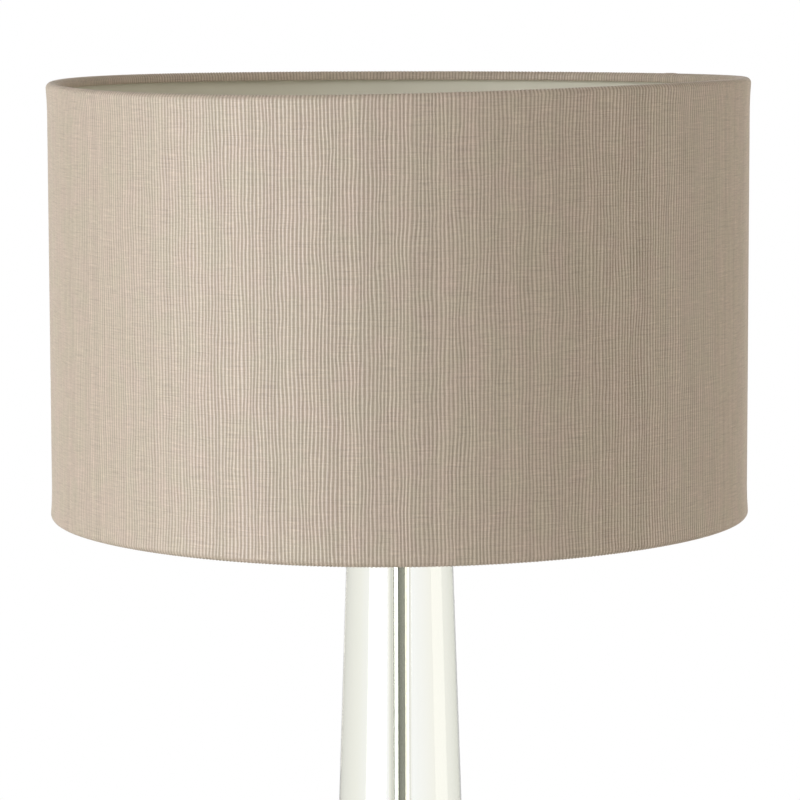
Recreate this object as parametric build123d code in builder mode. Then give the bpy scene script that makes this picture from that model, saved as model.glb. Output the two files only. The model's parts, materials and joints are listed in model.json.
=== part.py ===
from build123d import *
import os
from math import degrees, pi, sqrt

# A table lamp: a fabric drum shade on a tapered column of clear glass, with a
# polished tube down the middle of the glass and a round plated foot under it.
# Millimetres, +Z up. The origin is the centre of the felt's underside, which
# rests on the table; the cord inlet is at the back, towards +Y.

# ---------------------------------------------------------------- clearances
running_clearance = 0.05  # radial, where a piece turns or slides on another
thread_clearance = 0.05  # radial, between a thread's crest and its nut
locating_clearance = 0.2  # radial, where one piece only centres another
wire_clearance = 0.3  # between a rim wire and the hem round it
weld_clearance = 0.05  # filled by the weld, where a spoke meets the plate and the rim wire
glass_clearance = 0.35  # radial, round the glass in its metal ends
cavity_clearance = 0.4  # round the weight inside the foot
pocket_clearance = 0.5  # round what lies in the weight's pockets
turning_gap = 0.3  # left above the carrier so that the shade can turn
bulb_contact_clearance = 0.1  # radial, round the contact in the bulb's insulator

# ---------------------------------------------------------------------- foot
felt_margin = 5.0  # from the foot's edge in to the felt's
felt_thickness = 2.0
cover_thickness = 2.0
foot_diameter = 160.0
foot_wall = 2.0
foot_edge_radius = 5.0
foot_rim_lift = 1.0  # the metal rim stays this far above the table
weight_thickness = 18.0
weight_web_thickness = 3.0  # iron left above the nut's counterbore

cover_screw_count = 3
cover_screw_inset = 14.0  # from the foot's edge in to the screws' axes
cover_screw_diameter = 3.0
cover_screw_length = 9.0
cover_screw_head_diameter = 5.6

# --------------------------------------------------------------- cord inlet
cord_bore = 6.8  # takes a round mains cord of 6.4 mm
inlet_height = 13.0
bush_wall = 1.2
bush_flange_diameter = 13.0
bush_flange_thickness = 1.5
bush_lip_diameter = 11.2
bush_lip_thickness = 1.6
bush_tail_length = 2.0
spotface_depth = 0.5
bush_hole_depth = 6.0  # drilled right through the shell's wall

# ----------------------------------------------- terminal block in the foot
pole_count = 3
pole_pitch = 8.5
block_depth = 16.0
block_height = 11.0
block_front_length = 30.0  # from the lamp's axis back to the block
block_lift = 1.0  # between the block and the cover under it
block_corner_radius = 1.0
pole_height = 6.0  # of the wire's way above the block's underside
sleeve_diameter = 4.4
sleeve_bore = 3.2
sleeve_length = 11.0
sleeve_inset_depth = 3.0
pole_screw_diameter = 2.6
pole_screw_reach_length = 3.3  # from the wire's way down to the screw's slotted end
pole_screw_bite = 0.4  # how far the screw's tip stands into the wire's way
pole_screw_spacing = 5.0
block_screw_diameter = 3.0
block_screw_head = 5.2
block_screw_head_height = 2.0
block_screw_grip_length = 4.5  # how far it goes into the weight
pan_screw_slot = 0.7
pan_slot_share = 0.33  # of the head's height, the slot's depth
pan_edge_share = 0.25  # of the head's height, its edge radius

# ------------------------------------------------------------------- earth
earth_screw_diameter = 4.0
earth_screw_head = 7.0
earth_screw_head_height = 2.2
earth_screw_grip_length = 4.8
earth_screw_place = 14.0  # from the axis back to the screw
earth_tag_thickness = 0.8
earth_tag_diameter = 7.6
earth_barrel_diameter = 3.4
earth_barrel_length = 4.0

# ------------------------------------------------------------ leads and tube
lead_diameter = 2.2
lead_spacing = 2.6
lead_bend_radius = 4.4
lead_top_bend_radius = 3.5  # of the two bends inside the lampholder
lead_ramp_length = 10.1  # over which the leads climb to their poles
lead_floor_gap = 1.3  # between the leads and the cover
tube_diameter = 8.0
tube_bore = 5.6
tube_end_height = 12.0
nut_across_flats = 13.0
nut_height = 5.0
nut_chamfer = 0.4
bottom_washer_diameter = 18.0
bottom_washer_thickness = 1.4
counterbore_diameter = 25.0

# --------------------------------------------------------------------- glass
glass_length = 341.0
glass_top_diameter = 61.6
glass_foot_diameter = 84.5
glass_bore = 9.0
glass_edge_radius = 0.8
gasket_thickness = 1.0
collar_floor = 2.0
collar_wall = 2.5
collar_height = 9.0
collar_edge_radius = 1.0
cap_thickness = 3.0
cap_wall = 2.0
cap_skirt_height = 2.5
cap_edge_radius = 1.5
cap_washer_diameter = 16.0
cap_washer_thickness = 1.2

# ---------------------------------------------------------------------- neck
neck_height = 19.0
neck_base_diameter = 30.0
neck_top_diameter = 19.0
neck_foot_height = 2.0
neck_collar_height = 3.5
neck_pocket_diameter = 18.4

# ---------------------------------------------------------------- lampholder
cup_diameter = 36.0
cup_height = 33.0
cup_wall = 1.0
cup_floor = 2.5
cup_bend_radius = 6.0
entry_diameter = 14.0
entry_height = 6.0
insulator_height = 18.0
terminal_spacing = 17.0
terminal_side = 5.0
terminal_height = 6.0
terminal_screw_diameter = 2.5
terminal_screw_length = 5.0
terminal_screw_head = 4.0
terminal_screw_head_length = 1.4
lead_entry_length = 2.0  # how far a lead goes into its terminal
skirt_diameter = 39.5
skirt_bore = 30.4
skirt_lap_length = 3.0
skirt_height = 34.0
skirt_thread_pitch = 2.5
skirt_thread_depth = 0.7
screw_shell_height = 27.0
screw_shell_wall = 0.5
screw_shell_eye = 15.0
screw_shell_plain = 5.0  # left without thread at the shell's foot
socket_clearance = 0.25  # radial, round the bulb's cap
contact_thickness = 0.5
contact_width = 5.0
contact_rise_height = 4.0
contact_foot_inset = 1.0  # from the shell's eye in to the spring's foot
contact_bend_x = -2.0  # where the spring leaves the insulator
contact_tip_x = 1.0  # where it lies level again, under the bulb
contact_tip_length = 2.0
contact_slant = 0.4  # the slanted run's upper face starts and ends this much earlier

# -------------------------------------------------------------------- switch
bar_diameter = 5.0
bar_travel = 5.0
bar_height = 25.5  # above the lampholder's underside
knob_diameter = 6.8
knob_length = 5.0
knob_edge_radius = 1.2
bar_inset = 1.0  # from a knob's face in to the bar's end
knob_gap = 0.8  # between a knob and the cup at the end of its travel

# --------------------------------------------------------------- shade rings
ring_diameter = 55.0
lower_ring_lift = 0.5  # from the insulator's top up to the lower ring
lower_ring_height = 6.5
upper_ring_height = 8.5
flute_count = 24
flute_diameter = 4.0
flute_depth = 0.8
ring_chamfer = 0.5

# --------------------------------------------------------------------- shade
shade_diameter = 400.0
shade_height = 250.0
fabric_thickness = 0.8
lining_thickness = 0.4
rim_wire_diameter = 3.6
hem_depth = 5.6  # from the shade's edge to the hem's tucked end
seam_width = 12.0  # where the cloth laps over itself
seam_lap_thickness = 0.6
seam_angle = 34.4  # degrees from +X towards +Y
carrier_recess_height = 41.0  # from the shade's lower edge up to the carrier
carrier_diameter = 64.0
carrier_thickness = 1.5
carrier_clearance = 0.35  # radial, round the lampholder
spoke_count = 3
spoke_diameter = 3.2
spoke_bend_radius = 12.0
spoke_weld_length = 2.5  # how far a spoke laps the plate's edge
rim_joint_angle = 200.0  # degrees from +X, where the rim wires' ends meet

# ---------------------------------------------------------------------- bulb
bulb_thread_diameter = 26.2
bulb_thread_pitch = 3.63
bulb_thread_depth = 0.9
bulb_thread_turns = 4
bulb_cap_height = 27.0
bulb_cap_wall = 0.5
bulb_lip_height = 2.0  # over which the cap turns out to the neck
bulb_lip_outside = 0.2  # of the lip beyond the neck
bulb_lip_inside = 0.4  # of the lip within the neck
bulb_contact_diameter = 9.0
bulb_contact_height = 1.6
bulb_tip_diameter = 12.0
bulb_insulator_height = 5.0
bulb_globe_diameter = 60.0
bulb_neck_diameter = 27.0
bulb_length = 108.0
bulb_wall = 1.0

# -------------------------------------------------------------------- levels
# Heights above the table, each piece standing on the one below it.
cover_z = felt_thickness
weight_z = cover_z + cover_thickness
weight_top = weight_z + weight_thickness
foot_top = weight_top + foot_wall
gasket_z = foot_top + collar_floor
glass_z = gasket_z + gasket_thickness
glass_top = glass_z + glass_length
cap_z = glass_top + gasket_thickness
cap_top = cap_z + cap_thickness
clamp_nut_z = cap_top + cap_washer_thickness
cup_z = cap_top + neck_height
cup_top = cup_z + cup_height
insulator_z = cup_top - insulator_height
tube_top = cup_z + entry_height
skirt_z = cup_top - skirt_lap_length
skirt_top = skirt_z + skirt_height
lower_ring_z = cup_top + lower_ring_lift
carrier_z = lower_ring_z + lower_ring_height
upper_ring_z = carrier_z + carrier_thickness + turning_gap
shade_z = carrier_z - carrier_recess_height
shade_top = shade_z + shade_height
counterbore_top = weight_top - weight_web_thickness
bottom_nut_z = counterbore_top - bottom_washer_thickness - nut_height
bulb_z = cup_top + contact_thickness + contact_rise_height

# --------------------------------------------------------------------- radii
foot_radius = foot_diameter / 2
felt_radius = foot_radius - felt_margin
screw_circle_radius = foot_radius - cover_screw_inset
weight_radius = foot_radius - foot_wall - cavity_clearance
tube_radius = tube_diameter / 2
tube_thread_bore = tube_radius + thread_clearance
tube_way = tube_radius + locating_clearance  # plain holes that the tube passes
glass_slope = (glass_foot_diameter - glass_top_diameter) / 2 / glass_length
skirt_radius = skirt_diameter / 2
ring_bore = skirt_radius + running_clearance
shade_radius = shade_diameter / 2
lining_outer = shade_radius - fabric_thickness
lining_inner = lining_outer - lining_thickness
rim_wire_radius = rim_wire_diameter / 2
hem_inner_arc = rim_wire_radius + 2 * wire_clearance
hem_outer_arc = hem_inner_arc + fabric_thickness
hem_centre = shade_radius - hem_outer_arc  # radius of the hem's roll
wire_centre = lining_inner - wire_clearance - rim_wire_radius
bar_radius = bar_diameter / 2


def glass_radius(height):
    """The glass's outer radius at a height above the table."""
    return glass_top_diameter / 2 + (glass_top - height) * glass_slope


def annulus(outer_radius, inner_radius, thickness, height):
    """A flat ring that lies at a height, such as a washer or a gasket."""
    with BuildPart() as ring:
        with BuildSketch(Plane.XY.offset(height)):
            Circle(outer_radius)
            Circle(inner_radius, mode=Mode.SUBTRACT)
        extrude(amount=thickness)
    return ring


def hex_nut(height):
    """A thin nut of the tube's thread that lies at a height."""
    with BuildPart() as nut:
        with BuildSketch(Plane.XY.offset(height)):
            RegularPolygon(nut_across_flats / 2, 6, major_radius=False)
            Circle(tube_thread_bore, mode=Mode.SUBTRACT)
        extrude(amount=nut_height)
        chamfer(nut.edges().filter_by(GeomType.LINE).group_by(Axis.Z)[-1], nut_chamfer)
    return nut


def pan_screw(diameter, length, head_diameter, head_height):
    """A slotted screw with its head below the origin and its shank up +Z."""
    with BuildPart() as screw:
        with BuildSketch():
            Circle(head_diameter / 2)
        extrude(amount=-head_height)
        fillet(screw.edges().group_by(Axis.Z)[0], head_height * pan_edge_share)
        with BuildSketch():
            Circle(diameter / 2)
        extrude(amount=length)
        with BuildSketch(Plane.XY.offset(-head_height)):
            Rectangle(head_diameter, pan_screw_slot)
        extrude(amount=head_height * pan_slot_share, mode=Mode.SUBTRACT)
    return screw.part


def fluted_ring(height, ring_height):
    """A shade ring: plain bore, and an outer edge with finger flutes."""
    with BuildPart() as ring:
        with BuildSketch(Plane.XY.offset(height)):
            Circle(ring_diameter / 2)
            Circle(ring_bore, mode=Mode.SUBTRACT)
        extrude(amount=ring_height)
        chamfer(ring.edges().filter_by(GeomType.CIRCLE), ring_chamfer)
        with BuildSketch(Plane.XY.offset(height)):
            with PolarLocations(ring_diameter / 2 + flute_diameter / 2 - flute_depth, flute_count):
                Circle(flute_diameter / 2)
        extrude(amount=ring_height, mode=Mode.SUBTRACT)
    return ring


# ------------------------------------------------------- foot: felt and cover
with BuildPart() as felt_pad:
    with BuildSketch():
        Circle(felt_radius)
    extrude(amount=felt_thickness)

with BuildPart() as base_cover:
    with BuildSketch(Plane.XY.offset(cover_z)):
        Circle(weight_radius)
    extrude(amount=cover_thickness)
    with Locations(Plane(origin=(0, 0, cover_z), x_dir=(1, 0, 0), z_dir=(0, 0, -1))):
        with PolarLocations(screw_circle_radius, cover_screw_count):
            CounterSinkHole(
                cover_screw_diameter / 2 + locating_clearance,
                cover_screw_head_diameter / 2 + locating_clearance,
                counter_sink_angle=90,
            )

# Countersunk screws, their heads flush with the cover's underside.
head_cone = (cover_screw_head_diameter - cover_screw_diameter) / 2
with BuildPart() as cover_screw:
    with BuildSketch(Plane.XZ):
        with BuildLine():
            Polyline(
                (0, 0),
                (cover_screw_head_diameter / 2, 0),
                (cover_screw_diameter / 2, head_cone),
                (cover_screw_diameter / 2, cover_screw_length),
                (0, cover_screw_length),
                close=True,
            )
        make_face()
    revolve(axis=Axis.Z)
    with BuildSketch():
        Rectangle(cover_screw_head_diameter, pan_screw_slot)
    extrude(amount=head_cone / 2, mode=Mode.SUBTRACT)

with BuildPart() as cover_screws:
    with Locations((0, 0, cover_z)):
        with PolarLocations(screw_circle_radius, cover_screw_count):
            add(cover_screw.part)

# --------------------------------------------------------- foot: plated shell
inlet_axis = Plane(origin=(0, 0, inlet_height), x_dir=(1, 0, 0), z_dir=(0, 1, 0))
bush_seat = foot_radius - spotface_depth
bush_radius = cord_bore / 2 + bush_wall

with BuildPart() as foot_shell:
    with BuildSketch(Plane.XY.offset(foot_rim_lift)):
        Circle(foot_radius)
    extrude(amount=foot_top - foot_rim_lift)
    fillet(foot_shell.edges().sort_by(Axis.Z)[-1], foot_edge_radius)
    offset(amount=-foot_wall, openings=foot_shell.faces().sort_by(Axis.Z)[0])
    with BuildSketch(Plane.XY.offset(weight_top)):
        Circle(tube_way)
    extrude(amount=foot_wall, mode=Mode.SUBTRACT)
    with BuildSketch(inlet_axis.offset(bush_seat)):
        Circle(bush_flange_diameter / 2 + locating_clearance)
    extrude(amount=spotface_depth, mode=Mode.SUBTRACT)
    with BuildSketch(inlet_axis.offset(weight_radius - foot_wall)):
        Circle(bush_radius + thread_clearance)
    extrude(amount=bush_hole_depth, mode=Mode.SUBTRACT)

# The bush snaps in: its flange lies on the spotface, its lip behind the wall.
lip_front = sqrt((foot_radius - foot_wall) ** 2 - (bush_lip_diameter / 2) ** 2) - locating_clearance
bush_end = lip_front - bush_lip_thickness - bush_tail_length
bush_length = bush_seat + bush_flange_thickness - bush_end

with BuildPart() as inlet_bush:
    with BuildSketch(inlet_axis.offset(bush_end)):
        Circle(bush_radius)
    extrude(amount=bush_length)
    with BuildSketch(inlet_axis.offset(bush_seat)):
        Circle(bush_flange_diameter / 2)
    extrude(amount=bush_flange_thickness)
    with BuildSketch(inlet_axis.offset(lip_front - bush_lip_thickness)):
        Circle(bush_lip_diameter / 2)
    extrude(amount=bush_lip_thickness)
    fillet(inlet_bush.edges().group_by(Axis.Y)[-1], bush_flange_thickness / 3)
    with BuildSketch(inlet_axis.offset(bush_end)):
        Circle(cord_bore / 2)
    extrude(amount=bush_length, mode=Mode.SUBTRACT)

# --------------------------------------------------------- foot: iron weight
block_width = pole_count * pole_pitch
block_z = weight_z + block_lift
block_top = block_z + block_height
block_back = block_front_length + block_depth
pocket_half = block_width / 2 + pocket_clearance
inlet_channel_half = bush_lip_diameter / 2 + pocket_clearance
inlet_channel_top = inlet_height + inlet_channel_half
block_screw_x = pole_pitch / 2
earth_x = -pole_pitch

with BuildPart() as foot_weight:
    with BuildSketch(Plane.XY.offset(weight_z)):
        Circle(weight_radius)
    extrude(amount=weight_thickness)
    chamfer(foot_weight.edges().sort_by(Axis.Z)[-1], foot_edge_radius - foot_wall)
    # The counterbore for the nut, and the way of the tube.
    with BuildSketch(Plane.XY.offset(weight_z)):
        Circle(counterbore_diameter / 2)
    extrude(amount=counterbore_top - weight_z, mode=Mode.SUBTRACT)
    with BuildSketch(Plane.XY.offset(counterbore_top)):
        Circle(tube_way)
    extrude(amount=weight_web_thickness, mode=Mode.SUBTRACT)
    # The pocket of the terminal block and leads, and the cord's channel.
    with BuildSketch(Plane.XY.offset(weight_z)):
        Rectangle(
            2 * pocket_half,
            block_back + pocket_clearance,
            align=(Align.CENTER, Align.MIN),
        )
    extrude(amount=block_top - weight_z, mode=Mode.SUBTRACT)
    with BuildSketch(Plane.XY.offset(weight_z)):
        with Locations((0, block_back)):
            Rectangle(
                2 * inlet_channel_half,
                foot_radius - block_back,
                align=(Align.CENTER, Align.MIN),
            )
    extrude(amount=inlet_channel_top - weight_z, mode=Mode.SUBTRACT)
    # Tapped holes.
    with BuildSketch(Plane.XY.offset(block_top)):
        with Locations((block_screw_x, block_front_length + block_depth / 2)):
            Circle(block_screw_diameter / 2 + thread_clearance)
    extrude(amount=block_screw_grip_length + pocket_clearance, mode=Mode.SUBTRACT)
    with BuildSketch(Plane.XY.offset(block_top)):
        with Locations((earth_x, earth_screw_place)):
            Circle(earth_screw_diameter / 2 + thread_clearance)
    extrude(amount=earth_screw_grip_length + pocket_clearance, mode=Mode.SUBTRACT)
    with BuildSketch(Plane.XY.offset(weight_z)):
        with PolarLocations(screw_circle_radius, cover_screw_count):
            Circle(cover_screw_diameter / 2 + thread_clearance)
    extrude(amount=cover_screw_length - cover_thickness + pocket_clearance, mode=Mode.SUBTRACT)

# ------------------------------------------------------- foot: terminal block
pole_z = block_z + pole_height
pole_axis = Plane(origin=(0, 0, pole_z), x_dir=(1, 0, 0), z_dir=(0, 1, 0))
sleeve_front = block_front_length + sleeve_inset_depth
pole_screw_z = pole_z - pole_screw_reach_length
pole_screw_length = pole_screw_reach_length - sleeve_bore / 2 + pole_screw_bite
block_centre_y = block_front_length + block_depth / 2
sleeve_centre_y = sleeve_front + sleeve_length / 2

with BuildPart() as terminal_block:
    with BuildSketch(Plane.XY.offset(block_z)):
        with Locations((0, block_centre_y)):
            RectangleRounded(block_width, block_depth, block_corner_radius)
    extrude(amount=block_height)
    with BuildSketch(pole_axis.offset(block_front_length)):
        with GridLocations(pole_pitch, 0, pole_count, 1):
            Circle(sleeve_diameter / 2 + thread_clearance)
    extrude(amount=block_depth, mode=Mode.SUBTRACT)
    with BuildSketch(Plane.XY.offset(block_z)):
        with Locations((0, sleeve_centre_y)):
            with GridLocations(pole_pitch, pole_screw_spacing, pole_count, 2):
                Circle(pole_screw_diameter / 2 + locating_clearance)
    extrude(amount=pole_height, mode=Mode.SUBTRACT)
    with BuildSketch(Plane.XY.offset(block_z)):
        with Locations((block_screw_x, block_centre_y)):
            Circle(block_screw_diameter / 2 + locating_clearance)
    extrude(amount=block_height, mode=Mode.SUBTRACT)
    with BuildSketch(Plane.XY.offset(block_z)):
        with Locations((block_screw_x, block_centre_y)):
            Circle(block_screw_head / 2 + locating_clearance)
    extrude(amount=block_screw_head_height + locating_clearance, mode=Mode.SUBTRACT)

with BuildPart() as terminal_sleeves:
    with BuildSketch(pole_axis.offset(sleeve_front)):
        with GridLocations(pole_pitch, 0, pole_count, 1):
            Circle(sleeve_diameter / 2)
            Circle(sleeve_bore / 2, mode=Mode.SUBTRACT)
    extrude(amount=sleeve_length)
    with BuildSketch(Plane.XY.offset(block_z)):
        with Locations((0, sleeve_centre_y)):
            with GridLocations(pole_pitch, pole_screw_spacing, pole_count, 2):
                Circle(pole_screw_diameter / 2 + thread_clearance)
    extrude(amount=pole_height, mode=Mode.SUBTRACT)

with BuildPart() as terminal_screws:
    with BuildSketch(Plane.XY.offset(pole_screw_z)):
        with Locations((0, sleeve_centre_y)):
            with GridLocations(pole_pitch, pole_screw_spacing, pole_count, 2):
                Circle(pole_screw_diameter / 2)
    extrude(amount=pole_screw_length)
    with BuildSketch(Plane.XY.offset(pole_screw_z)):
        with Locations((0, sleeve_centre_y)):
            with GridLocations(pole_pitch, pole_screw_spacing, pole_count, 2):
                Rectangle(pole_screw_diameter, pan_screw_slot / 2)
    extrude(amount=pan_screw_slot, mode=Mode.SUBTRACT)

block_screw_shape = pan_screw(
    block_screw_diameter,
    block_height - block_screw_head_height + block_screw_grip_length,
    block_screw_head,
    block_screw_head_height,
)
with BuildPart() as block_screw:
    with Locations((block_screw_x, block_centre_y, block_z + block_screw_head_height)):
        add(block_screw_shape)

# -------------------------------------------------------------- foot: earthing
tag_z = block_top - earth_tag_thickness
barrel_z = block_top - earth_barrel_diameter / 2
barrel_front = earth_screw_place + earth_tag_diameter / 2 + locating_clearance
barrel_back = barrel_front + earth_barrel_length
barrel_axis = Plane(origin=(earth_x, 0, barrel_z), x_dir=(1, 0, 0), z_dir=(0, 1, 0))

with BuildPart() as earth_tag:
    with BuildSketch(Plane.XY.offset(tag_z)):
        with Locations((earth_x, earth_screw_place)):
            Circle(earth_tag_diameter / 2)
            Rectangle(
                earth_barrel_diameter,
                barrel_back - earth_screw_place,
                align=(Align.CENTER, Align.MIN),
            )
            Circle(earth_screw_diameter / 2 + locating_clearance, mode=Mode.SUBTRACT)
    extrude(amount=earth_tag_thickness)
    with BuildSketch(barrel_axis.offset(barrel_front)):
        Circle(earth_barrel_diameter / 2)
    extrude(amount=earth_barrel_length)

earth_screw_shape = pan_screw(
    earth_screw_diameter,
    earth_tag_thickness + earth_screw_grip_length,
    earth_screw_head,
    earth_screw_head_height,
)
with BuildPart() as earth_screw:
    with Locations((earth_x, earth_screw_place, tag_z)):
        add(earth_screw_shape)

# ----------------------------------------------------------------------- leads
lead_radius = lead_diameter / 2
lead_end_y = sleeve_front + sleeve_inset_depth - pocket_clearance
lead_floor_z = weight_z + lead_floor_gap + lead_radius
lead_rise_y = block_front_length - sleeve_inset_depth
lead_dip_y = lead_rise_y - lead_ramp_length
terminal_x = terminal_spacing / 2
lead_top = insulator_z + lead_entry_length
lead_splay_z = tube_top + lead_spacing
lead_gather_z = insulator_z - lead_spacing
lead_lengths = {}


def lead(route, radii, name):
    """A round insulated lead along a route of straight runs and arcs."""
    with BuildPart() as wire:
        with BuildLine() as way:
            FilletPolyline(*route, radius=radii)
        path = way.wires()[0]
        with BuildSketch(Plane(origin=path @ 0, z_dir=path % 0)):
            Circle(lead_radius)
        sweep(path=path)
    lead_lengths[name] = (path.length, radii, wire.part.volume)
    return wire


def supply_lead(side, pole_x):
    """The route of a lead from its terminal down the tube to its pole."""
    tube_x = side * lead_spacing / 2
    return [
        (side * terminal_x, 0, lead_top),
        (side * terminal_x, 0, lead_gather_z),
        (tube_x, 0, lead_splay_z),
        (tube_x, 0, lead_floor_z),
        (pole_x, lead_dip_y, lead_floor_z),
        (pole_x, lead_rise_y, pole_z),
        (pole_x, lead_end_y, pole_z),
    ]


lead_radii = [lead_top_bend_radius] * 2 + [lead_bend_radius] * 3
live_lead = lead(supply_lead(-1, 0), lead_radii, "live")
neutral_lead = lead(supply_lead(1, pole_pitch), lead_radii, "neutral")
earth_lead = lead(
    [
        (earth_x, lead_end_y, pole_z),
        (earth_x, lead_rise_y + lead_radius, pole_z),
        (earth_x, barrel_back + lead_diameter, barrel_z),
        (earth_x, barrel_back, barrel_z),
    ],
    [lead_bend_radius, lead_bend_radius],
    "earth",
)

# ------------------------------------------------------------ tube and its nuts
centre_tube = annulus(tube_radius, tube_bore / 2, tube_top - tube_end_height, tube_end_height)
bottom_nut = hex_nut(bottom_nut_z)
bottom_washer = annulus(
    bottom_washer_diameter / 2,
    tube_way,
    bottom_washer_thickness,
    counterbore_top - bottom_washer_thickness,
)
cap_washer = annulus(cap_washer_diameter / 2, tube_way, cap_washer_thickness, cap_top)
clamp_nut = hex_nut(clamp_nut_z)

# ------------------------------------------------------- glass and its end caps
collar_bore = glass_radius(glass_z) + glass_clearance
with BuildPart() as foot_collar:
    with BuildSketch(Plane.XY.offset(foot_top)):
        Circle(collar_bore + collar_wall)
    extrude(amount=collar_height)
    fillet(foot_collar.edges().sort_by(Axis.Z)[-1], collar_edge_radius)
    with BuildSketch(Plane.XY.offset(gasket_z)):
        Circle(collar_bore)
    extrude(amount=collar_height, mode=Mode.SUBTRACT)
    with BuildSketch(Plane.XY.offset(foot_top)):
        Circle(tube_way)
    extrude(amount=collar_floor, mode=Mode.SUBTRACT)

seat_gasket = annulus(
    glass_radius(glass_z) - glass_edge_radius,
    glass_bore / 2,
    gasket_thickness,
    gasket_z,
)

with BuildPart() as glass_column:
    with BuildSketch(Plane.XZ):
        with BuildLine():
            Polyline(
                (glass_bore / 2, glass_z),
                (glass_foot_diameter / 2, glass_z),
                (glass_top_diameter / 2, glass_top),
                (glass_bore / 2, glass_top),
                close=True,
            )
        make_face()
    revolve(axis=Axis.Z)
    rims = glass_column.edges().filter_by(GeomType.CIRCLE).sort_by(SortBy.RADIUS)[-2:]
    fillet(rims, glass_edge_radius)

top_gasket = annulus(
    glass_radius(glass_top) - glass_edge_radius,
    glass_bore / 2,
    gasket_thickness,
    glass_top,
)

cap_bore = glass_radius(glass_top - cap_skirt_height) + glass_clearance
with BuildPart() as top_cap:
    with BuildSketch(Plane.XY.offset(glass_top - cap_skirt_height)):
        Circle(cap_bore + cap_wall)
    extrude(amount=cap_top - glass_top + cap_skirt_height)
    fillet(top_cap.edges().sort_by(Axis.Z)[-1], cap_edge_radius)
    with BuildSketch(Plane.XY.offset(glass_top - cap_skirt_height)):
        Circle(cap_bore)
    extrude(amount=cap_skirt_height + gasket_thickness, mode=Mode.SUBTRACT)
    with BuildSketch(Plane.XY.offset(cap_z)):
        Circle(tube_way)
    extrude(amount=cap_thickness, mode=Mode.SUBTRACT)

# ------------------------------------------------------------------------ neck
neck_pocket_top = clamp_nut_z + nut_height + pocket_clearance
with BuildPart() as neck_sleeve:
    with BuildSketch(Plane.XZ):
        with BuildLine():
            Line((neck_pocket_diameter / 2, cap_top), (neck_base_diameter / 2, cap_top))
            Line((neck_base_diameter / 2, cap_top), (neck_base_diameter / 2, cap_top + neck_foot_height))
            TangentArc(
                (neck_top_diameter / 2, cup_z - neck_collar_height),
                (neck_base_diameter / 2, cap_top + neck_foot_height),
                tangent=(0, 1),
                tangent_from_first=False,
            )
            Line((neck_top_diameter / 2, cup_z - neck_collar_height), (neck_top_diameter / 2, cup_z))
            Line((neck_top_diameter / 2, cup_z), (tube_way, cup_z))
            Line((tube_way, cup_z), (tube_way, neck_pocket_top))
            Line((tube_way, neck_pocket_top), (neck_pocket_diameter / 2, neck_pocket_top))
            Line((neck_pocket_diameter / 2, neck_pocket_top), (neck_pocket_diameter / 2, cap_top))
        make_face()
    revolve(axis=Axis.Z)

# ----------------------------------------------------------- lampholder: cup
cup_radius = cup_diameter / 2
cup_inner = cup_radius - cup_wall
insulator_radius = cup_inner - locating_clearance
bar_z = cup_z + bar_height
bar_axis = Plane(origin=(0, 0, bar_z), x_dir=(0, 1, 0), z_dir=(1, 0, 0))

with BuildPart() as holder_cup:
    with BuildSketch(Plane.XY.offset(cup_z)):
        Circle(cup_radius)
    extrude(amount=cup_height)
    with BuildSketch(Plane.XY.offset(cup_z + cup_floor)):
        Circle(cup_inner)
    extrude(amount=cup_height, mode=Mode.SUBTRACT)
    outer_bend, inner_bend = holder_cup.edges().filter_by(GeomType.CIRCLE).sort_by(Axis.Z)[:2]
    fillet(inner_bend, cup_bend_radius - cup_wall)
    fillet(outer_bend, cup_bend_radius)
    with BuildSketch(Plane.XY.offset(cup_z)):
        Circle(entry_diameter / 2)
    extrude(amount=entry_height)
    with BuildSketch(Plane.XY.offset(cup_z)):
        Circle(tube_thread_bore)
    extrude(amount=entry_height, mode=Mode.SUBTRACT)
    with BuildSketch(bar_axis):
        Circle(bar_radius + locating_clearance)
    extrude(amount=cup_diameter, both=True, mode=Mode.SUBTRACT)

# ----------------------------------------------------- lampholder: insulator
terminal_z = insulator_z
terminal_screw_z = terminal_z + terminal_height / 2
terminal_screw_axis = Plane(origin=(0, 0, terminal_screw_z), x_dir=(1, 0, 0), z_dir=(0, 1, 0))
screw_tip_y = -lead_radius - locating_clearance
screw_head_y = screw_tip_y - terminal_screw_length

with BuildPart() as holder_insulator:
    with BuildSketch(Plane.XY.offset(insulator_z)):
        Circle(insulator_radius)
    extrude(amount=insulator_height)
    with BuildSketch(Plane.XY.offset(terminal_z)):
        with GridLocations(terminal_spacing, 0, 2, 1):
            Rectangle(
                terminal_side + 2 * thread_clearance,
                terminal_side + 2 * thread_clearance,
            )
    extrude(amount=terminal_height, mode=Mode.SUBTRACT)
    with BuildSketch(terminal_screw_axis):
        with GridLocations(terminal_spacing, 0, 2, 1):
            Circle(terminal_screw_head / 2 + locating_clearance)
    extrude(amount=-cup_radius, mode=Mode.SUBTRACT)
    with BuildSketch(bar_axis):
        Circle(bar_radius + running_clearance)
    extrude(amount=cup_diameter, both=True, mode=Mode.SUBTRACT)

with BuildPart() as holder_terminals:
    with BuildSketch(Plane.XY.offset(terminal_z)):
        with GridLocations(terminal_spacing, 0, 2, 1):
            Rectangle(terminal_side, terminal_side)
    extrude(amount=terminal_height)
    with BuildSketch(Plane.XY.offset(terminal_z)):
        with GridLocations(terminal_spacing, 0, 2, 1):
            Circle(lead_radius + thread_clearance)
    extrude(amount=terminal_height - 1, mode=Mode.SUBTRACT)
    with BuildSketch(terminal_screw_axis):
        with GridLocations(terminal_spacing, 0, 2, 1):
            Circle(terminal_screw_diameter / 2 + thread_clearance)
    extrude(amount=-terminal_side, mode=Mode.SUBTRACT)

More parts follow.
